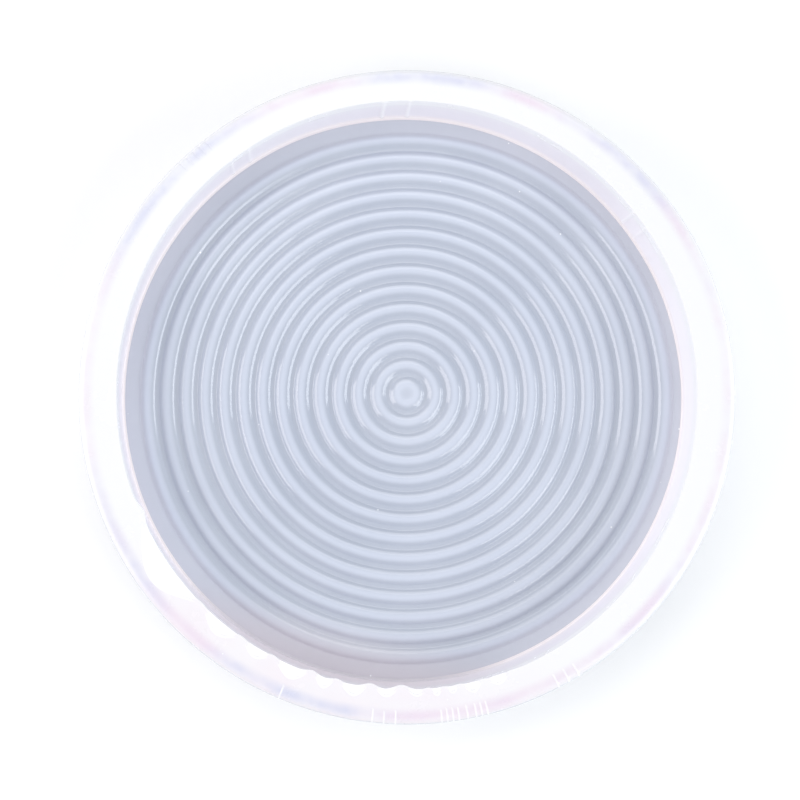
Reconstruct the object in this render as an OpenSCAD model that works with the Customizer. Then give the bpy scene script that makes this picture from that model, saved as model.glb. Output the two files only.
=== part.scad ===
// Round silicone mould for casting a ribbed coaster in resin.
//
// The mould is one soft casting, open at the top. Its nodes are the zones of that casting,
// parted where its surface creases: the slab, the relief that stands on it, the wall round
// it and the rim on top. Neighbours meet face to face, with no gap and no overlap.
// The origin is the centre of the underside, and +Z is the axis of every turned shape.

/* [Cavity] */
// Diameter of the cavity floor, which casts the face of the coaster
floor_d = 102.1; // [90:0.1:120]
// Depth of the cavity, from the rim down to the floor between the ridges
cavity_depth = 9; // [6:0.5:20]
// How far the cavity wall leans outwards over its height, so that a casting slips out
wall_draft = 0.1; // [0.1:0.05:2]

/* [Ridges] */
// Number of ridge rings round the centre button
ring_count = 13; // [4:1:16]
// Height of the ridges above the floor
ridge_h = 0.65; // [0.4:0.05:1.2]
// Width of the valley between two ridges
valley_w = 0.6; // [0.1:0.05:1.2]
// Width of the flat land between the last ridge and the wall
land_w = 2.05; // [0.4:0.05:3]
// Depth of the hollow in the top of the centre button
dish_depth = 0.12; // [0.05:0.01:0.2]

/* [Body] */
// Thickness of the silicone under the cavity
floor_t = 4; // [2:0.5:8]
// Width of the rim, from the cavity's mouth to the outside
rim_w = 6.5; // [4:0.1:12]
// Thickness of the rim zone above the side wall
rim_t = 2; // [1.6:0.1:4]
// Radius that rounds the rim's outer edge
edge_round = 1.4; // [0.5:0.1:1.5]
// Radius that rounds the outer edge of the underside
foot_round = 0.8; // [0.3:0.1:1.5]

/* [Hidden] */
$fn = 180;
floor_r = floor_d / 2;
mouth_r = floor_r + wall_draft;
outer_r = mouth_r + rim_w;
total_h = floor_t + cavity_depth;
// Height at which the side wall ends and the rim begins
rim_z = total_h - rim_t;
// Radius of the cavity wall at that height, on its sloping line
rim_join_r = floor_r + wall_draft * (rim_z - floor_t) / cavity_depth;
ring_pitch = (floor_r - land_w) / (ring_count + 1);
ridge_w = ring_pitch - valley_w;
// Radius of the arc that has the ridge's width as its chord and its height as its rise
ridge_arc_r = (pow(ridge_w / 2, 2) + pow(ridge_h, 2)) / (2 * ridge_h);
// The button is the same ridge section, with a flat top inside its crest
button_top_r = ring_pitch - valley_w / 2 - ridge_w / 2;
dish_r = 0.8 * button_top_r;
dish_ball_r = (pow(dish_r, 2) + pow(dish_depth, 2)) / (2 * dish_depth);

thin_silicone = [0.80, 0.83, 0.89];
crest_silicone = [0.83, 0.86, 0.93];
thick_silicone = [0.97, 0.96, 0.98];

function ring_name(i) = str("ring_ridge_", i < 10 ? "0" : "", i);

// Half-round cross-section of a ridge, with the middle of its flat base at the origin
module ridge_section() {
    intersection() {
        translate([0, ridge_h - ridge_arc_r]) circle(r = ridge_arc_r);
        translate([-ring_pitch, 0]) square([2 * ring_pitch, 2 * ridge_h]);
    }
}

// Quarter of a disc, filling the corner between +X and +Y
module quarter_disc(r) {
    intersection() {
        circle(r = r);
        square(2 * r);
    }
}

// Round plate under the cavity, with its bare top showing in the valleys and the land
module floor_slab() {
    color(thin_silicone) cylinder(r = floor_r, h = floor_t);
}

// Low round button in the middle of the floor, hollowed a little on top
module centre_button() {
    color(crest_silicone)
        translate([0, 0, floor_t])
            difference() {
                rotate_extrude() {
                    square([button_top_r, ridge_h]);
                    translate([button_top_r, 0]) ridge_section();
                }
                translate([0, 0, ridge_h - dish_depth + dish_ball_r]) sphere(r = dish_ball_r);
            }
}

// Ridge ring number i, counted outwards from the button
module ring_ridge(i) {
    color(crest_silicone)
        translate([0, 0, floor_t])
            rotate_extrude()
                translate([ring_pitch * (i + 0.5), 0]) ridge_section();
}

// Wall that holds the resin: sloping inside, upright outside, standing beside the slab
module side_wall() {
    color(thick_silicone)
        rotate_extrude() {
            polygon([
                [floor_r, 0],
                [outer_r - foot_round, 0],
                [outer_r, foot_round],
                [outer_r, rim_z],
                [rim_join_r, rim_z],
                [floor_r, floor_t]
            ]);
            translate([outer_r - foot_round, foot_round]) circle(r = foot_round);
        }
}

// Flat rim on top of the wall, rounded at its outer edge and square at the cavity's mouth
module rim() {
    color(thick_silicone)
        rotate_extrude() {
            polygon([
                [rim_join_r, rim_z],
                [outer_r, rim_z],
                [outer_r, total_h - edge_round],
                [outer_r - edge_round, total_h],
                [mouth_r, total_h]
            ]);
            translate([outer_r - edge_round, total_h - edge_round]) quarter_disc(edge_round);
        }
}

floor_slab();
centre_button();
for (i = [1 : ring_count])
    ring_ridge(i);
side_wall();
rim();
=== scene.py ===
"""Milky silicone mould for a ribbed coaster, dressed over its CAD frame.

Every piece is turned about Z from an outline, eased a little out of true as a soft casting
is, and given a milky silicone finish: darkest in the valleys of the floor, whitest on the rim.
Light and shade are partly painted into its colours: painted shade in the valleys, in front and
on the outer face, painted light on the land by the wall and towards the mouth, painted
highlights on the crests, the ribs, the bead and the lip, a painted reflection on the outer
edge, and a painted glow on the cavity wall.
"""
import math

import bpy
from mathutils import Matrix, Vector


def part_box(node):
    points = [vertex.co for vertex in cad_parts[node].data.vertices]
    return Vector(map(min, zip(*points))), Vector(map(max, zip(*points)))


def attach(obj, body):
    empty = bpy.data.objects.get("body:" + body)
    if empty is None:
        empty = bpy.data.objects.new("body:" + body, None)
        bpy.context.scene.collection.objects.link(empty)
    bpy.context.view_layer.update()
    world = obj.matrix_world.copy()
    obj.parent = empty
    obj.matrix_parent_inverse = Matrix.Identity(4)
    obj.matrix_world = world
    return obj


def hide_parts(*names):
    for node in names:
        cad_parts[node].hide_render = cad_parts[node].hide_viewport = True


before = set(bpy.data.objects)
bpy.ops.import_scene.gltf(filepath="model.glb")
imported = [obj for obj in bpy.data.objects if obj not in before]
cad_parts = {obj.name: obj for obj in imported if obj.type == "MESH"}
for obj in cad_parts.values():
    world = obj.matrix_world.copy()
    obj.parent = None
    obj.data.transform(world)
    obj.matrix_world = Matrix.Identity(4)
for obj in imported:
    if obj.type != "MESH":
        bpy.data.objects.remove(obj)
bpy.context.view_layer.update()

MM = 0.001
TURN = 2 * math.pi

# ---------------------------------------------------------------- sizes from the frame

RINGS = sorted(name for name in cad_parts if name.startswith("ring_ridge_"))
RING_FEET = [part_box(name)[1].x for name in RINGS]
FLOOR_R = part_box("floor_slab")[1].x
FLOOR_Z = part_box("floor_slab")[1].z
CREST_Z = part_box("centre_button")[1].z
RIM_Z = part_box("rim")[0].z
OUTER_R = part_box("rim")[1].x
TOP_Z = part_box("rim")[1].z
PITCH = (RING_FEET[-1] - RING_FEET[0]) / (len(RINGS) - 1)
RIDGE_H = CREST_Z - FLOOR_Z

# ---------------------------------------------------------------- sizes of the dressing

WALL_LEAN = 0.1 * MM
WALL_SLOPE = WALL_LEAN / (TOP_Z - FLOOR_Z)
MOUTH_R = FLOOR_R + WALL_LEAN
RIM_JOIN_R = FLOOR_R + WALL_SLOPE * (RIM_Z - FLOOR_Z)
WALL_FILLET = 0.35 * MM
RIDGE_FILLET = 0.6 * MM
VALLEY_W = 0.2 * MM
EDGE_ROUND = 1.4 * MM
FOOT_ROUND = 0.8 * MM
LIP_ROUND = 0.12 * MM
DISH_DEPTH = 0.12 * MM
LIP_DEPTH = 0.5 * MM
# Points nearer than this are one point
SAME_SPOT = 0.002 * MM
# Columns of mesh round the wall and the rim, four to a degree
RIM_STEPS = 1440

# Where the trimmed skin at the mouth is scalloped: bearing of each tongue in degrees, how far
# its tip hangs over the mouth, and how far the scallop after it bites into the rim, in mm
SCALLOPS = [
    (205, 0.8, 3.6), (226.5, 0.2, 1.9), (236.5, 0.2, 1.4), (243.5, 0.25, 1.9), (251.5, 0.5, 1.5),
    (256.5, 0.35, 1.6), (263, 0.6, 1.1), (269, 0.7, 0.9), (274, 0.2, 1.0), (277, 0.2, 0.9),
    (280, 0.2, 1.4), (284.5, 0.15, 1.2), (290, 0.1, 0),
]
# Half width of a tongue in degrees: a least width, and what each mm of overhang adds
TONGUE_LEAST, TONGUE_PER_REACH = 0.7, 1.6
SCALLOP_DROP = 0.16 * MM
# Bite at which a scallop's bevel reaches its full depth
FULL_BITE = 0.5 * MM
BEVEL_W = 0.3 * MM
BEAD_W = 0.42 * MM
BEAD_RISE = 0.3 * SCALLOP_DROP
# Painted highlight on the cut lip of the trimmed stretch
LIP_HIGHLIGHT = 0.7
# Bearings in degrees of fine fins of flash across the outer edge, and of nicks pressed there
EDGE_FINS = [247.5, 264, 266, 268, 276, 277, 278, 279, 280.5, 282, 283, 284, 297, 299, 301]
EDGE_NICKS = [129, 130.5, 132, 133.5, 135]
FIN_HEIGHT = 0.1 * MM
NICK_DEPTH = 0.12 * MM
# Faint ribs up the wall, in pairs: bearing and half width in degrees, and height in mm
WALL_RIBS = [(34, 0.45, 0.08), (38, 0.45, 0.12), (89.2, 0.5, 0.14), (94.4, 0.5, 0.16),
             (123.3, 0.45, 0.1), (127.5, 0.45, 0.1)]
# Painted highlight along the ribs, per mm of their height
RIB_HIGHLIGHT = 5
# How far the soft casting is out of true
FOOT_SHIFT = 0.75 * MM
FOOT_OVAL = 0.55 * MM
MOUTH_OVAL = 0.45 * MM
FLEX = 0.12 * MM


# ---------------------------------------------------------------- modelling by hand

def let_go():
    """Leaves nothing selected and no object in edit mode."""
    if bpy.context.object and bpy.context.object.mode != "OBJECT":
        bpy.ops.object.mode_set(mode="OBJECT")
    bpy.ops.object.select_all(action="DESELECT")


def arc(centre_r, centre_z, radius, start, end, steps):
    """Outline points on an arc, with angles in degrees from the outward direction."""
    turns = [math.radians(start + (end - start) * k / steps) for k in range(steps + 1)]
    return [(centre_r + radius * math.cos(t), centre_z + radius * math.sin(t)) for t in turns]


def line(start, end, steps):
    """Outline points from start up to but not at end."""
    return [
        (start[0] + (end[0] - start[0]) * k / steps, start[1] + (end[1] - start[1]) * k / steps)
        for k in range(steps)
    ]


def turned(name, outline, steps, closed=True):
    """Draws an outline of (radius, height) points by extruding one corner, and turns it."""
    let_go()
    bpy.ops.mesh.primitive_plane_add(size=MM, location=(outline[0][0], 0, outline[0][1]))
    piece = bpy.context.object
    piece.name = piece.data.name = name
    bpy.ops.object.transform_apply(location=True, rotation=True, scale=True)
    bpy.ops.object.mode_set(mode="EDIT")
    bpy.ops.mesh.select_mode(type="VERT")
    bpy.ops.mesh.select_all(action="SELECT")
    bpy.ops.mesh.merge(type="CENTER")
    for (r0, z0), (r1, z1) in zip(outline, outline[1:]):
        bpy.ops.mesh.extrude_region_move(TRANSFORM_OT_translate={"value": (r1 - r0, 0, z1 - z0)})
    bpy.ops.object.mode_set(mode="OBJECT")
    ends = [0, len(piece.data.vertices) - 1]
    for corner in piece.data.vertices:
        corner.select = corner.index in ends
    if closed:
        bpy.ops.object.mode_set(mode="EDIT")
        bpy.ops.mesh.edge_face_add()
        bpy.ops.object.mode_set(mode="OBJECT")
    turn = piece.modifiers.new("turn", "SCREW")
    turn.axis = "Z"
    turn.angle = TURN
    turn.steps = turn.render_steps = steps
    turn.use_merge_vertices = True
    turn.merge_threshold = SAME_SPOT
    bpy.ops.object.modifier_apply(modifier=turn.name)
    bpy.ops.object.mode_set(mode="EDIT")
    bpy.ops.mesh.select_all(action="SELECT")
    bpy.ops.mesh.remove_doubles(threshold=SAME_SPOT)
    bpy.ops.mesh.normals_make_consistent(inside=False)
    bpy.ops.object.mode_set(mode="OBJECT")
    return piece


def mark(piece, values):
    """Keeps a number at each point of a piece, for its material to read as whiteness: painted
    highlights, and whiter fins.
    """
    whiteness = piece.data.attributes.new("whiteness", "FLOAT", "POINT")
    whiteness.data.foreach_set("value", values)


def bearing_of(x, y):
    """Bearing of a point from the axis, from 0 to 360 degrees."""
    return math.degrees(math.atan2(y, x)) % 360


def soft_bump(bearing, bumps):
    """Height in mm at a bearing, among soft bumps of (bearing, half width, height)."""
    height = 0
    for middle, half_width, peak in bumps:
        away = abs(bearing - middle) / half_width
        if away < 1:
            height = max(height, peak * math.cos(away * math.pi / 2))
    return height


def raise_wall_ribs(piece):
    """Pushes faint upright ribs inwards out of the cavity wall, and returns their whiteness, a
    painted highlight along each rib.
    """
    whiteness = []
    for corner in piece.data.vertices:
        x, y, z = corner.co
        radius = math.hypot(x, y)
        rib = 0
        if FLOOR_R - SAME_SPOT < radius < MOUTH_R + SAME_SPOT and z > FLOOR_Z + WALL_FILLET:
            rib = soft_bump(bearing_of(x, y), WALL_RIBS)
            shrink = 1 - rib * MM / radius
            corner.co = (x * shrink, y * shrink, z)
        whiteness.append(RIB_HIGHLIGHT * rib)
    return whiteness


def scallop_at(bearing):
    """Overhang of the tongue and bite of the scallop at a bearing, in metres."""
    overhang, bite = 0, 0
    for (tip, reach, depth), (next_tip, _, _) in zip(SCALLOPS, SCALLOPS[1:] + [(360, 0, 0)]):
        tongue_width = TONGUE_LEAST + TONGUE_PER_REACH * reach
        overhang = max(overhang, reach * math.exp(-((bearing - tip) / tongue_width) ** 2))
        if tip < bearing < next_tip:
            across = ((bearing - tip) / (next_tip - tip)) ** 1.15
            bite = depth * math.sin(math.pi * across) ** 1.6
    return overhang * MM, bite * MM


def trim_scallops(piece, whiteness):
    """Trims the skin at the mouth into tongues, with a lower bevel between them, and paints a
    highlight on the bevel, the bead and the cut lip as whiteness.
    """
    lip_end = MOUTH_R + LIP_ROUND
    bead_end = BEVEL_W + BEAD_W
    land_end = OUTER_R - EDGE_ROUND - lip_end
    for corner in piece.data.vertices:
        x, y, z = corner.co
        radius = math.hypot(x, y)
        out = radius - lip_end
        if z < TOP_Z - LIP_ROUND - SAME_SPOT or out > land_end - SAME_SPOT:
            continue
        bearing = bearing_of(x, y)
        overhang, bite = scallop_at(bearing)
        bite = max(0, bite - BEVEL_W)
        part = min(1, bite / FULL_BITE)
        if out <= BEVEL_W:
            shift = bite * max(0, out) / BEVEL_W
        else:
            shift = bite * (1 - max(0, out - bead_end) / (land_end - bead_end))
        if out < bead_end + SAME_SPOT:
            shift -= overhang
        if out < 0.9 * BEVEL_W:
            z -= SCALLOP_DROP * part
            trimmed = SCALLOPS[0][0] - 4 < bearing < SCALLOPS[-1][0] + 2
            cut_lip = out < 0.2 * BEVEL_W and trimmed
            # Painted highlight on the bevel and the cut lip
            whiteness[corner.index] = max(part, LIP_HIGHLIGHT * cut_lip)
        elif out < 0.9 * bead_end:
            z += BEAD_RISE * part
            # Painted highlight on the bead
            whiteness[corner.index] = part
        stretch = 1 + shift / radius
        corner.co = (x * stretch, y * stretch, z)


def mark_outer_edge(piece, whiteness):
    """Raises thin fins across the rounded outer edge of the rim, whitens them, and presses nicks
    into it.
    """
    near = 180 / RIM_STEPS + 0.01  # just over half the angle between two columns of mesh
    for corner in piece.data.vertices:
        x, y, z = corner.co
        radius = math.hypot(x, y)
        if radius < OUTER_R - 1.9 * EDGE_ROUND or z < TOP_Z - 0.9 * EDGE_ROUND:
            continue
        bearing = bearing_of(x, y)
        if any(abs(bearing - fin) < near for fin in EDGE_FINS):
            corner.co = (x, y, z + FIN_HEIGHT)
            whiteness[corner.index] = 1
        elif any(abs(bearing - nick) < near for nick in EDGE_NICKS):
            corner.co = (x, y, z - NICK_DEPTH)


def bend_out_of_true(piece):
    """Carries the foot of the wall sideways, and makes foot and mouth a little oval."""
    relief_r = RING_FEET[-1]
    for corner in piece.data.vertices:
        x, y, z = corner.co
        radius = math.hypot(x, y)
        if radius <= relief_r:
            continue
        if radius < FLOOR_R:
            inner = (radius - relief_r) / (FLOOR_R - relief_r)
        else:
            inner = max(0, (OUTER_R - radius) / (OUTER_R - FLOOR_R))
        up = min(1, max(0, (z - FLOOR_Z) / (TOP_Z - FLOOR_Z)))
        oval = MOUTH_OVAL * up * (y * y - x * x) + FOOT_OVAL * (1 - up) * y * y
        stretch = 1 + inner * oval / radius ** 3
        corner.co = (x * stretch - FOOT_SHIFT * inner * (1 - up), y * stretch, z)


def ease_out_of_true(piece):
    """Moves a piece a hair sideways by a slow noise that all the pieces share."""
    for direction, size in (("X", 21 * MM), ("Y", 27 * MM)):
        noise = bpy.data.textures.get("flex_" + direction)
        if noise is None:
            noise = bpy.data.textures.new("flex_" + direction, "CLOUDS")
            noise.noise_scale = size
            noise.noise_depth = 1
        ease = piece.modifiers.new("ease_" + direction, "DISPLACE")
        ease.texture = noise
        ease.texture_coords = "LOCAL"
        ease.direction = direction
        ease.strength = FLEX
        ease.mid_level = 0.5
        bpy.ops.object.modifier_apply(modifier=ease.name)


# ---------------------------------------------------------------- pieces

def make_floor_slab():
    """Plate under the cavity, with a loop of its mesh at every valley."""
    rings = len(RINGS) + 1
    outline = line((0, FLOOR_Z), (rings * PITCH, FLOOR_Z), rings * 2)
    outline += [(rings * PITCH, FLOOR_Z), (FLOOR_R, FLOOR_Z)]
    outline += line((FLOOR_R, 0), (0, 0), rings) + [(0, 0)]
    return turned("floor_slab_skin", outline, 360, closed=False)


def ridge_outline(crest_r):
    """Rounded section of a ridge with a fillet at each foot, from its outer foot inwards."""
    half_width = (PITCH - VALLEY_W) / 2
    steepest = 2 * math.degrees(math.atan(RIDGE_H / half_width))
    crest_arc = half_width / math.sin(math.radians(steepest)) - RIDGE_FILLET
    fillet_z = FLOOR_Z + RIDGE_FILLET
    outer_foot = arc(crest_r + half_width, fillet_z, RIDGE_FILLET, -90, -90 - steepest, 6)
    crest = arc(crest_r, CREST_Z - crest_arc, crest_arc, 90 - steepest, 90 + steepest, 20)
    inner_foot = arc(crest_r - half_width, fillet_z, RIDGE_FILLET, -90 + steepest, -90, 6)
    return outer_foot + crest[1:-1] + inner_foot


def make_centre_button():
    """Round button with the ridge's flank and a shallow hollow in its top."""
    crest_r = PITCH / 2
    flank = [p for p in ridge_outline(crest_r) if p[0] >= crest_r]
    hollow_r = 0.8 * crest_r
    hollow = [
        (hollow_r * k / 12, CREST_Z - DISH_DEPTH * (1 - (k / 12) ** 2))
        for k in range(12, -1, -1)
    ]
    return turned("centre_button_skin", [(0, FLOOR_Z)] + flank + hollow, 96, closed=False)


def make_ring_ridge(number):
    """One half-round ridge ring, counted outwards from the button."""
    outline = ridge_outline((number + 0.5) * PITCH)
    return turned(f"ring_ridge_{number:02d}_skin", outline, 96 + 24 * number)


def make_side_wall():
    """Wall that holds the resin, with a small fillet at its foot inside the cavity."""
    outline = [(FLOOR_R, 0), (FLOOR_R, FLOOR_Z)]
    outline += arc(FLOOR_R - WALL_FILLET, FLOOR_Z + WALL_FILLET, WALL_FILLET, -90, 0, 8)
    outline += line(
        (FLOOR_R + WALL_SLOPE * WALL_FILLET, FLOOR_Z + 1.5 * WALL_FILLET), (RIM_JOIN_R, RIM_Z), 10
    )
    outline += [(RIM_JOIN_R, RIM_Z)]
    outline += line((OUTER_R, RIM_Z), (OUTER_R, FOOT_ROUND), 8)
    outline += arc(OUTER_R - FOOT_ROUND, FOOT_ROUND, FOOT_ROUND, 0, -90, 8)
    wall = turned("side_wall_skin", outline, RIM_STEPS)
    mark(wall, raise_wall_ribs(wall))
    return wall


def make_rim():
    """Flat rim with a crisp lip at the mouth and a rounded outer edge."""
    outline = line((RIM_JOIN_R, RIM_Z), (MOUTH_R, TOP_Z - LIP_DEPTH), 4)
    outline += [(MOUTH_R, TOP_Z - LIP_DEPTH)]
    outline += arc(MOUTH_R + LIP_ROUND, TOP_Z - LIP_ROUND, LIP_ROUND, 180, 90, 4)
    lip_end = MOUTH_R + LIP_ROUND
    steps_out = [BEVEL_W * part for part in (0.33, 0.66, 0.85, 1)]
    steps_out += [BEVEL_W + BEAD_W * part for part in (0.25, 0.5, 1)]
    outline += [(lip_end + out, TOP_Z) for out in steps_out]
    outline += line((lip_end + 2 * (BEVEL_W + BEAD_W), TOP_Z), (OUTER_R - EDGE_ROUND, TOP_Z), 9)
    outline += arc(OUTER_R - EDGE_ROUND, TOP_Z - EDGE_ROUND, EDGE_ROUND, 90, 0, 12)
    outline += [(OUTER_R, RIM_Z)]
    rim = turned("rim_skin", outline, RIM_STEPS)
    whiteness = raise_wall_ribs(rim)
    trim_scallops(rim, whiteness)
    mark_outer_edge(rim, whiteness)
    mark(rim, whiteness)
    return rim


# ---------------------------------------------------------------- shader node groups

NUMBER, COLOUR, PLACE = "NodeSocketFloat", "NodeSocketColor", "NodeSocketVector"


def new_group(name, inputs, outputs):
    """Shader node group with named sockets, and its input and output nodes."""
    group = bpy.data.node_groups.new(name, "ShaderNodeTree")
    for label, kind in inputs:
        group.interface.new_socket(label, in_out="INPUT", socket_type=kind)
    for label, kind in outputs:
        group.interface.new_socket(label, in_out="OUTPUT", socket_type=kind)
    return group, group.nodes.new("NodeGroupInput"), group.nodes.new("NodeGroupOutput")


def feed(tree, socket, value):
    """Sets a socket to a plain value, or links another node's socket to it."""
    if isinstance(value, bpy.types.NodeSocket):
        tree.links.new(value, socket)
    else:
        socket.default_value = value


def calc(tree, operation, first, second=0.0, clamp=False):
    """Math node on two values."""
    node = tree.nodes.new("ShaderNodeMath")
    node.operation = operation
    node.use_clamp = clamp
    feed(tree, node.inputs[0], first)
    feed(tree, node.inputs[1], second)
    return node.outputs[0]


def ramp(tree, value, start, end, low=0.0, high=1.0):
    """Smooth step of a value from low at start to high at end."""
    node = tree.nodes.new("ShaderNodeMapRange")
    node.interpolation_type = "SMOOTHSTEP"
    for label, number in zip(("Value", "From Min", "From Max", "To Min", "To Max"),
                             (value, start, end, low, high)):
        feed(tree, node.inputs[label], number)
    return node.outputs["Result"]


def blend(tree, amount, first, second):
    """Mix of two colours by an amount."""
    node = tree.nodes.new("ShaderNodeMix")
    node.data_type = "RGBA"
    feed(tree, node.inputs["Factor"], amount)
    feed(tree, node.inputs["A"], first)
    feed(tree, node.inputs["B"], second)
    return node.outputs["Result"]


def noise(tree, place, size, detail, roughness=0.5):
    """Noise whose blobs are about a given size across."""
    node = tree.nodes.new("ShaderNodeTexNoise")
    tree.links.new(place, node.inputs["Vector"])
    node.inputs["Scale"].default_value = 1 / size
    node.inputs["Detail"].default_value = detail
    node.inputs["Roughness"].default_value = roughness
    return node


def split(tree, place):
    """The parts of a place, by their names X, Y and Z."""
    node = tree.nodes.new("ShaderNodeSeparateXYZ")
    tree.links.new(place, node.inputs[0])
    return node.outputs


def build_milky_cloud():
    """Slow and fine unevenness of the milkiness, each from 0 to 1."""
    group, given, result = new_group(
        "milky_cloud", [("Place", PLACE)], [("Slow", NUMBER), ("Fine", NUMBER)]
    )
    slow = noise(group, given.outputs["Place"], 16 * MM, 2)
    fine = noise(group, given.outputs["Place"], 1.6 * MM, 4, 0.6)
    feed(group, result.inputs["Slow"], ramp(group, slow.outputs[0], 0.3, 0.7))
    feed(group, result.inputs["Fine"], ramp(group, fine.outputs[0], 0.25, 0.75))
    return group


def build_depth_tint():
    """Colour that goes from one to another between two heights."""
    group, given, result = new_group(
        "depth_tint",
        [("Place", PLACE), ("Low", COLOUR), ("High", COLOUR), ("From", NUMBER), ("To", NUMBER)],
        [("Colour", COLOUR)],
    )
    height = split(group, given.outputs["Place"])["Z"]
    amount = ramp(group, height, given.outputs["From"], given.outputs["To"])
    feed(group, result.inputs["Colour"],
         blend(group, amount, given.outputs["Low"], given.outputs["High"]))
    return group


def build_round_band():
    """Mask that is 1 on a ring of a given radius and fades to 0 over a given width."""
    group, given, result = new_group(
        "round_band", [("Place", PLACE), ("Radius", NUMBER), ("Width", NUMBER)],
        [("Mask", NUMBER), ("From Axis", NUMBER)],
    )
    parts = split(group, given.outputs["Place"])
    squares = calc(group, "ADD", calc(group, "MULTIPLY", parts["X"], parts["X"]),
                   calc(group, "MULTIPLY", parts["Y"], parts["Y"]))
    from_axis = calc(group, "SQRT", squares)
    away = calc(group, "ABSOLUTE", calc(group, "SUBTRACT", from_axis, given.outputs["Radius"]))
    nearness = calc(group, "SUBTRACT", 1.0, calc(group, "DIVIDE", away, given.outputs["Width"]))
    feed(group, result.inputs["Mask"], ramp(group, nearness, 0.0, 1.0))
    feed(group, result.inputs["From Axis"], from_axis)
    return group


def build_poured_skin():
    """Tiny unevenness of a poured surface as a height, and smears of handling as a mask."""
    group, given, result = new_group(
        "poured_skin", [("Place", PLACE)], [("Height", NUMBER), ("Smear", NUMBER)]
    )
    swell = noise(group, given.outputs["Place"], 5 * MM, 2)
    orange_peel = noise(group, given.outputs["Place"], 0.9 * MM, 3, 0.55)
    smear = noise(group, given.outputs["Place"], 9 * MM, 5, 0.65)
    height = calc(group, "ADD", calc(group, "MULTIPLY", swell.outputs[0], 0.8),
                  calc(group, "MULTIPLY", orange_peel.outputs[0], 0.2))
    feed(group, result.inputs["Height"], height)
    feed(group, result.inputs["Smear"], ramp(group, smear.outputs[0], 0.45, 0.75))
    return group


# Distance between places that may hold a speck, and the share of them that hold none
SPECK_SPACING = 4.2 * MM
BARE_CELLS = 0.45


def build_trapped_specks():
    """Mask of sparse round specks: tiny bubbles and dust held in the skin."""
    group, given, result = new_group(
        "trapped_specks", [("Place", PLACE), ("Size", NUMBER)], [("Mask", NUMBER)]
    )
    cells = group.nodes.new("ShaderNodeTexVoronoi")
    group.links.new(given.outputs["Place"], cells.inputs["Vector"])
    cells.inputs["Scale"].default_value = 1 / SPECK_SPACING
    away = calc(group, "MULTIPLY", cells.outputs["Distance"], SPECK_SPACING)
    nearness = calc(group, "SUBTRACT", 1.0, calc(group, "DIVIDE", away, given.outputs["Size"]))
    cell_number = split(group, cells.outputs["Color"])["X"]
    chosen = calc(group, "GREATER_THAN", cell_number, BARE_CELLS)
    feed(group, result.inputs["Mask"],
         calc(group, "MULTIPLY", ramp(group, nearness, 0.0, 0.6), chosen))
    return group


MILKY_CLOUD = build_milky_cloud()
DEPTH_TINT = build_depth_tint()
ROUND_BAND = build_round_band()
POURED_SKIN = build_poured_skin()
TRAPPED_SPECKS = build_trapped_specks()


# ---------------------------------------------------------------- materials

# Roughness, highlight strength and refraction of the relief, and of the wall and the rim
GLOSS, SHEEN, RELIEF_IOR = 0.1, 0.8, 1.5
WALL_ROUGHNESS, RIM_ROUGHNESS, WALL_SHEEN, WALL_IOR = 0.2, 0.25, 0.5, 1.41
SMEAR_ROUGHNESS = 0.06
BUMP_DEPTH = 0.03 * MM
# How much light scatters inside the rubber, and how far it gets
RELIEF_SCATTER, RELIEF_DEPTH = 0.0, 1.0 * MM
WALL_SCATTER, WALL_DEPTH = 0.15, 1.0 * MM
SCATTER_RADIUS = (1.0, 0.95, 0.9)
# Colour of milkiness, also the colour of the painted light out by the wall; how far milkiness
# clouds a colour; and how much the middle of the relief is lightened and how much painted light
# lifts it out by the wall
MILK_AND_PAINTED_LIGHT = (0.9, 0.91, 0.95, 1)
RELIEF_MILK, WALL_MILK = 0.08, 0.1
MIDDLE_LIGHTENING, BY_WALL_PAINTED_LIGHT = 0.07, 0.07
SPECK_SIZE, WALL_SPECK_SIZE = 0.22 * MM, 0.15 * MM
SPECK_COLOUR = (0.97, 0.98, 1.0, 1)
SPECK_STRENGTH = 0.85

# Floor colour in the valleys: thin rubber's bluer tone, darkened with painted shade
VALLEY_COLOUR = (0.47, 0.511, 0.606, 1)
# Land by the wall, lifted with painted light where the wall shades it, and lifted more in front
LIT_LAND_COLOUR = (0.565, 0.595, 0.68, 1)
LIT_LAND_FRONT_COLOUR = (0.66, 0.63, 0.69, 1)
# Ridge colours from foot to crest: painted shade at the feet, and crests lighter as milkier thick
# rubber with a painted highlight
RIDGE_FOOT_COLOUR = (0.465, 0.506, 0.60, 1)
CREST_COLOUR = (0.677, 0.728, 0.858, 1)
# Painted highlight along the foot of the wall, peachy
WALL_FOOT_HIGHLIGHT_COLOUR = (0.87, 0.81, 0.83, 1)
WALL_COLOUR = (0.81, 0.78, 0.84, 1)
# Painted light on the right of the wall, and painted shade in front
LIT_WALL_RIGHT_COLOUR = (0.93, 0.90, 0.94, 1)
SHADED_WALL_FRONT_COLOUR = (0.83, 0.755, 0.80, 1)
RIM_COLOUR = (0.87, 0.87, 0.88, 1)
# Painted shade on the outer face of the wall and the rim
SHADED_OUTSIDE_COLOUR = (0.66, 0.68, 0.73, 1)
# White of the painted highlights on ribs, bead and lip, and of the fins, and how strongly it
# shows
HIGHLIGHT_AND_FIN_WHITE = (0.96, 0.95, 0.96, 1)
HIGHLIGHT_AND_FIN_STRENGTH = 0.9
# Painted shade at the front of the rim, pinkish
RIM_FRONT_SHADE_COLOUR = (0.86, 0.81, 0.85, 1)
# Painted reflection on the rounded outer edge of the rim: its blue and pink, and the radius and
# width of its band
EDGE_REFLECTION_BLUE = (0.66, 0.67, 0.80, 1)
EDGE_REFLECTION_PINK = (0.80, 0.70, 0.79, 1)
STRIP_R, STRIP_W = 56.0 * MM, 1.7 * MM

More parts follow.
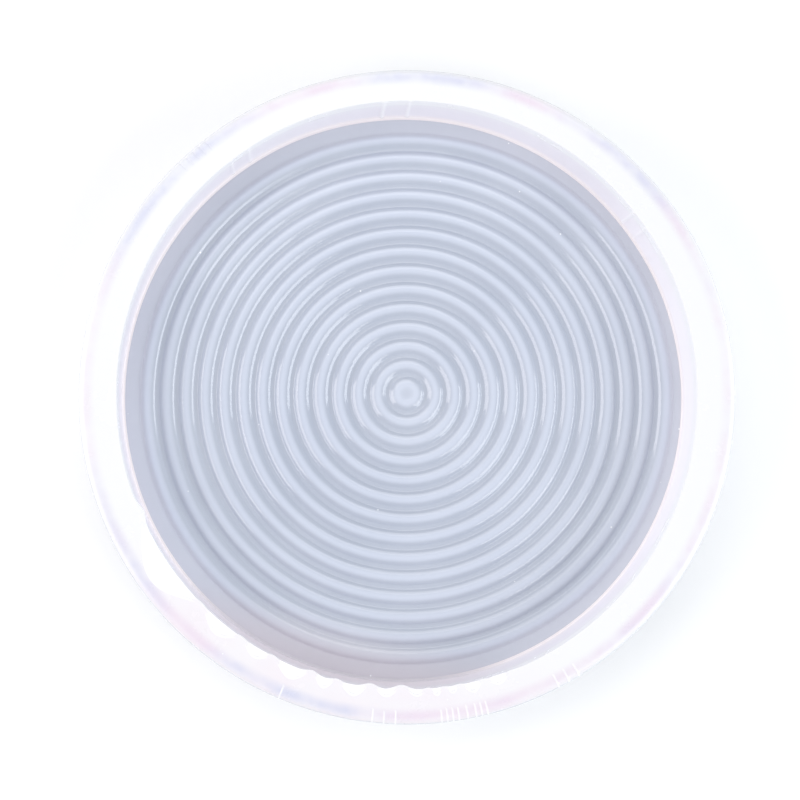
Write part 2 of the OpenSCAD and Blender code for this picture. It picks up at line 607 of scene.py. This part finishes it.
# Bearing of the front, where the wall's painted shade is deepest, and how far out towards it that
# painted shade starts and ends
FRONT_BEARING = 255
DUSK_START, DUSK_END = 0.78 * FLOOR_R, 0.97 * FLOOR_R
# Distances from the axis between which the cavity's side gives way to the outside
CAVITY_SIDE_END, OUTSIDE_START = FLOOR_R + 1.2 * MM, FLOOR_R + 2.4 * MM
BLACK = (0, 0, 0, 1)
# Painted glow on the cavity wall: its colour low and high, and its strength
WALL_GLOW_LOW = (1.0, 0.95, 0.98, 1)
WALL_GLOW_HIGH = (1.0, 0.98, 1.0, 1)
WALL_GLOW = 0.12

def use(tree, group, place, **values):
    """Places a node group in a material, reads it at a place and sets its other inputs."""
    node = tree.nodes.new("ShaderNodeGroup")
    node.node_tree = group
    tree.links.new(place, node.inputs["Place"])
    for label, value in values.items():
        feed(tree, node.inputs[label], value)
    return node.outputs


def new_silicone(name, roughness, scatter, scatter_depth, sheen_level, ior):
    """Milky silicone with everything but its colour, and the place that its patterns read."""
    material = bpy.data.materials.new(name)
    material.use_nodes = True
    tree = material.node_tree
    shader = tree.nodes["Principled BSDF"]
    shader.inputs["IOR"].default_value = ior
    shader.inputs["Specular IOR Level"].default_value = sheen_level
    shader.inputs["Subsurface Weight"].default_value = scatter
    shader.inputs["Subsurface Radius"].default_value = SCATTER_RADIUS
    shader.inputs["Subsurface Scale"].default_value = scatter_depth
    place = tree.nodes.new("ShaderNodeTexCoord").outputs["Object"]
    skin = use(tree, POURED_SKIN, place)
    uneven = tree.nodes.new("ShaderNodeBump")
    uneven.inputs["Distance"].default_value = BUMP_DEPTH
    tree.links.new(skin["Height"], uneven.inputs["Height"])
    tree.links.new(uneven.outputs[0], shader.inputs["Normal"])
    feed(tree, shader.inputs["Roughness"],
         calc(tree, "ADD", roughness, calc(tree, "MULTIPLY", skin["Smear"], SMEAR_ROUGHNESS)))
    return material, tree, shader, place


def finish_colour(tree, shader, place, colour, milk_amount, speck_size):
    """Clouds a colour with milkiness, sprinkles specks on it and gives it to the shader."""
    cloud = use(tree, MILKY_CLOUD, place)
    both = calc(tree, "ADD", calc(tree, "MULTIPLY", cloud["Slow"], 0.7),
                calc(tree, "MULTIPLY", cloud["Fine"], 0.3))
    colour = blend(tree, calc(tree, "MULTIPLY", both, milk_amount), colour, MILK_AND_PAINTED_LIGHT)
    specks = use(tree, TRAPPED_SPECKS, place, Size=speck_size)
    speck_amount = calc(tree, "MULTIPLY", specks["Mask"], SPECK_STRENGTH)
    feed(tree, shader.inputs["Base Color"], blend(tree, speck_amount, colour, SPECK_COLOUR))


def lighten_by_radius(tree, place, colour):
    """Lightens the relief in the middle, paints light onto it and onto the land out by the wall,
    where the wall shades them, and paints more light onto the land in front.
    """
    middle = use(tree, ROUND_BAND, place, Radius=0.0, Width=4 * PITCH)
    outside = use(tree, ROUND_BAND, place, Radius=FLOOR_R, Width=8 * PITCH)
    # Painted light on the land by the wall, where the wall shades it
    by_wall = ramp(tree, outside["From Axis"], RING_FEET[-1] - 0.4 * PITCH, RING_FEET[-1])
    colour = blend(tree, by_wall, colour, LIT_LAND_COLOUR)
    # More painted light on the land in front
    in_front = ramp(tree, frontness(tree, place), 0.8 * FLOOR_R, FLOOR_R)
    colour = blend(tree, in_front, colour, LIT_LAND_FRONT_COLOUR)
    # Lighter in the middle, and painted light on the relief out by the wall
    amount = calc(tree, "ADD", calc(tree, "MULTIPLY", middle["Mask"], MIDDLE_LIGHTENING),
                  calc(tree, "MULTIPLY", outside["Mask"], BY_WALL_PAINTED_LIGHT))
    return blend(tree, amount, colour, MILK_AND_PAINTED_LIGHT)


def floor_silicone():
    """Thinnest rubber, in the valleys and on the land by the wall, darkened in the valleys with
    painted shade and lifted on the land with painted light.
    """
    material, tree, shader, place = new_silicone(
        "floor_silicone", GLOSS, RELIEF_SCATTER, RELIEF_DEPTH, SHEEN, RELIEF_IOR)
    colour = lighten_by_radius(tree, place, VALLEY_COLOUR)
    finish_colour(tree, shader, place, colour, RELIEF_MILK, SPECK_SIZE)
    return material


def relief_silicone():
    """Ridges, lighter towards their crests: milkier thick rubber, with painted shade at their
    feet and a painted highlight on the crests.
    """
    material, tree, shader, place = new_silicone(
        "relief_silicone", GLOSS, RELIEF_SCATTER, RELIEF_DEPTH, SHEEN, RELIEF_IOR)
    # Painted shade low on the ridges, and a painted highlight with milkier rubber towards the
    # crests
    tint = use(tree, DEPTH_TINT, place, Low=RIDGE_FOOT_COLOUR, High=CREST_COLOUR,
               From=FLOOR_Z + 0.6 * RIDGE_H, To=FLOOR_Z + 1.3 * RIDGE_H)
    colour = lighten_by_radius(tree, place, tint["Colour"])
    finish_colour(tree, shader, place, colour, RELIEF_MILK, SPECK_SIZE)
    return material


def wall_silicone():
    """Thick rubber of the wall, with painted light to the right and towards the mouth, painted
    shade in front, a peachy painted highlight along its foot, and painted shade on its outer
    face.
    """
    material, tree, shader, place = new_silicone(
        "wall_silicone", WALL_ROUGHNESS, WALL_SCATTER, WALL_DEPTH, WALL_SHEEN, WALL_IOR)
    # Painted light to the right and painted shade in front
    right = ramp(tree, split(tree, place)["X"], 0.6 * FLOOR_R, FLOOR_R)
    front = ramp(tree, frontness(tree, place), DUSK_START, DUSK_END)
    body = blend(tree, right, WALL_COLOUR, LIT_WALL_RIGHT_COLOUR)
    body = blend(tree, front, body, SHADED_WALL_FRONT_COLOUR)
    # Painted light towards the mouth, up to the rim's own colour
    tint = use(tree, DEPTH_TINT, place, Low=body, High=RIM_COLOUR,
               From=FLOOR_Z + 0.5 * (TOP_Z - FLOOR_Z), To=TOP_Z)
    # Painted highlight along the foot, giving way in front to the land's painted light
    foot_colour = blend(tree, front, WALL_FOOT_HIGHLIGHT_COLOUR, LIT_LAND_FRONT_COLOUR)
    foot = use(tree, DEPTH_TINT, place, Low=foot_colour, High=tint["Colour"],
               From=FLOOR_Z + WALL_FILLET, To=FLOOR_Z + 5 * WALL_FILLET)
    # Painted shade on the outer face
    colour = blend(tree, cavity_side(tree, place), SHADED_OUTSIDE_COLOUR, foot["Colour"])
    colour = whiten_highlights_and_fins(tree, colour)
    finish_colour(tree, shader, place, colour, WALL_MILK, WALL_SPECK_SIZE)
    paint_wall_glow(tree, shader, place)
    return material


def frontness(tree, place):
    """How far a place lies towards the front, a little to the left of it."""
    parts = split(tree, place)
    turn = math.radians(FRONT_BEARING)
    return calc(tree, "ADD", calc(tree, "MULTIPLY", parts["X"], math.cos(turn)),
                calc(tree, "MULTIPLY", parts["Y"], math.sin(turn)))


def cavity_side(tree, place):
    """Mask that is 1 on the cavity's side of the wall and the rim, and 0 further out."""
    centre = use(tree, ROUND_BAND, place, Radius=0.0, Width=FLOOR_R)
    return ramp(tree, centre["From Axis"], OUTSIDE_START, CAVITY_SIDE_END)


def whiten_highlights_and_fins(tree, colour):
    """Whitens a colour where the piece keeps whiteness at its points: painted highlights on ribs,
    bead and lip, and whiter fins.
    """
    kept = tree.nodes.new("ShaderNodeAttribute")
    kept.attribute_name = "whiteness"
    amount = calc(tree, "MULTIPLY", kept.outputs["Fac"], HIGHLIGHT_AND_FIN_STRENGTH, clamp=True)
    return blend(tree, amount, colour, HIGHLIGHT_AND_FIN_WHITE)


def paint_wall_glow(tree, shader, place):
    """Painted glow on the cavity's side of the wall and the rim, fainter in front, standing in
    for light that thick rubber carries inside itself.
    """
    height = split(tree, place)["Z"]
    glow = use(tree, DEPTH_TINT, place, Low=WALL_GLOW_LOW, High=WALL_GLOW_HIGH,
               From=FLOOR_Z, To=TOP_Z)
    under_lip = ramp(tree, height, TOP_Z - 0.05 * MM, TOP_Z - 0.2 * MM)
    over_floor = ramp(tree, height, FLOOR_Z - 0.4 * MM, FLOOR_Z)
    # Fainter painted glow in front
    front = ramp(tree, frontness(tree, place), DUSK_START, DUSK_END, 1.0, 0.6)
    amount = calc(tree, "MULTIPLY", calc(tree, "MULTIPLY", cavity_side(tree, place), under_lip),
                  calc(tree, "MULTIPLY", over_floor, front))
    feed(tree, shader.inputs["Emission Color"], blend(tree, amount, BLACK, glow["Colour"]))
    shader.inputs["Emission Strength"].default_value = WALL_GLOW


def rim_silicone():
    """Thickest and whitest rubber, with patchy pinkish painted shade at the front, a patchy
    painted reflection on its rounded outer edge, and painted shade on its outer face.
    """
    material, tree, shader, place = new_silicone(
        "rim_silicone", RIM_ROUGHNESS, WALL_SCATTER, WALL_DEPTH, WALL_SHEEN, WALL_IOR)
    # Patchy painted shade in front
    rim_front_shade_cloud = noise(tree, place, 11 * MM, 2)
    front = ramp(tree, frontness(tree, place), 0.6 * OUTER_R, 0.9 * OUTER_R)
    rim_front_shade = calc(tree, "MULTIPLY", front, ramp(tree, rim_front_shade_cloud.outputs[0], 0.3, 0.7, 0.5, 1.0))
    colour = blend(tree, rim_front_shade, RIM_COLOUR, RIM_FRONT_SHADE_COLOUR)
    # Patchy painted reflection in a band on the rounded outer edge, strongest front and back
    patches = noise(tree, place, 9 * MM, 3, 0.6)
    tints = noise(tree, place, 23 * MM, 1)
    from_side = calc(tree, "ABSOLUTE", split(tree, place)["Y"])
    front_back = ramp(tree, from_side, 0.1 * OUTER_R, 0.7 * OUTER_R, 0.45, 1.0)
    strip = use(tree, ROUND_BAND, place, Radius=STRIP_R, Width=STRIP_W)
    strength = calc(tree, "MULTIPLY", calc(tree, "MULTIPLY", strip["Mask"], front_back),
                    ramp(tree, patches.outputs[0], 0.35, 0.62, 0.4, 1.0), clamp=True)
    edge_reflection_colour = blend(tree, ramp(tree, tints.outputs[0], 0.4, 0.6), EDGE_REFLECTION_BLUE, EDGE_REFLECTION_PINK)
    colour = blend(tree, strength, colour, edge_reflection_colour)
    # Painted shade on the outer face, from just inside the outer edge
    outside = ramp(tree, strip["From Axis"], OUTER_R - 0.5 * MM, OUTER_R - 0.1 * MM)
    colour = blend(tree, outside, colour, SHADED_OUTSIDE_COLOUR)
    colour = whiten_highlights_and_fins(tree, colour)
    finish_colour(tree, shader, place, colour, WALL_MILK, WALL_SPECK_SIZE)
    paint_wall_glow(tree, shader, place)
    return material


floor_finish = floor_silicone()
relief_finish = relief_silicone()
wall_finish = wall_silicone()
rim_finish = rim_silicone()


# Edges that turn by more than this stay sharp
CREASE_ANGLE = math.radians(40)


def dress(piece, nodes, material):
    """Eases a finished piece, lets it stand for its CAD nodes and gives it a finish."""
    bend_out_of_true(piece)
    ease_out_of_true(piece)
    bpy.ops.object.shade_smooth_by_angle(angle=CREASE_ANGLE)
    piece.data.materials.clear()
    piece.data.materials.append(material)
    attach(piece, "root")
    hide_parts(*nodes)


dress(make_floor_slab(), ["floor_slab"], floor_finish)
dress(make_centre_button(), ["centre_button"], relief_finish)
for ring_number, ring_node in enumerate(RINGS, start=1):
    dress(make_ring_ridge(ring_number), [ring_node], relief_finish)
dress(make_side_wall(), ["side_wall"], wall_finish)
dress(make_rim(), ["rim"], rim_finish)

# ---------------------------------------------------------------- table, light and camera

TABLE_SIZE, TABLE_GAP = 4, 0.02 * MM
TABLE_COLOUR = (0.97, 0.97, 0.97, 1)
ROOM_COLOUR, ROOM_LIGHT = (0.96, 0.98, 1.0, 1), 0.61
LAMP_DISTANCE = 0.6
SENSOR_W, LENS = 36, 51.0
CAMERA_PLACE = Vector((-1.1, -18.3, 210.0)) * MM
CAMERA_TARGET = Vector((-1.2, -2.0, 14.0)) * MM


def make_table():
    """Plain white table top, set a hair below the mould."""
    let_go()
    bpy.ops.mesh.primitive_plane_add(size=TABLE_SIZE, location=(0, 0, -TABLE_GAP))
    table = bpy.context.object
    table.name = "table_top"
    material = bpy.data.materials.new("table_white")
    material.use_nodes = True
    shader = material.node_tree.nodes["Principled BSDF"]
    shader.inputs["Base Color"].default_value = TABLE_COLOUR
    shader.inputs["Roughness"].default_value = 0.9
    shader.inputs["Specular IOR Level"].default_value = 0.1
    table.data.materials.append(material)


def softbox(name, azimuth, elevation, width, height, radiance, colour):
    """Rectangular light at a bearing and height in degrees, facing the mould."""
    a, e = math.radians(azimuth), math.radians(elevation)
    away = Vector((math.cos(a) * math.cos(e), math.sin(a) * math.cos(e), math.sin(e)))
    lamp = bpy.data.lights.new(name, "AREA")
    lamp.shape = "RECTANGLE"
    lamp.size, lamp.size_y = width, height
    lamp.energy = radiance * math.pi * width * height
    lamp.color = colour
    holder = bpy.data.objects.new(name, lamp)
    bpy.context.scene.collection.objects.link(holder)
    holder.location = away * LAMP_DISTANCE
    holder.rotation_euler = (-away).to_track_quat("-Z", "Y").to_euler()


def light_the_room():
    """Pale surroundings, a softbox behind the mould, and windows left, right and front right."""
    world = bpy.data.worlds.new("pale_room")
    bpy.context.scene.world = world
    world.use_nodes = True
    backdrop = world.node_tree.nodes["Background"]
    backdrop.inputs["Color"].default_value = ROOM_COLOUR
    backdrop.inputs["Strength"].default_value = ROOM_LIGHT
    softbox("back_softbox", 106, 52, 0.55, 0.40, 1.26, (1.0, 1.0, 1.0))
    softbox("left_window", 188, 29, 0.52, 0.36, 2.8, (1.0, 0.965, 0.975))
    softbox("right_window", -18, 25, 0.66, 0.22, 3.5, (0.93, 0.965, 1.0))
    softbox("front_window", -42, 40, 0.30, 0.12, 3.0, (1.0, 1.0, 1.0))
    bpy.context.scene.view_settings.view_transform = "Standard"


def place_camera():
    """Camera almost straight above, standing a little to the front."""
    lens = bpy.data.cameras.new("camera")
    lens.sensor_width = SENSOR_W
    lens.lens = LENS
    lens.clip_start, lens.clip_end = 0.01, 10
    camera = bpy.data.objects.new("camera", lens)
    bpy.context.scene.collection.objects.link(camera)
    camera.location = CAMERA_PLACE
    back = (CAMERA_PLACE - CAMERA_TARGET).normalized()
    right = Vector((0, 1, 0)).cross(back).normalized()
    camera.rotation_euler = Matrix((right, back.cross(right), back)).transposed().to_euler()
    bpy.context.scene.camera = camera


make_table()
light_the_room()
place_camera()
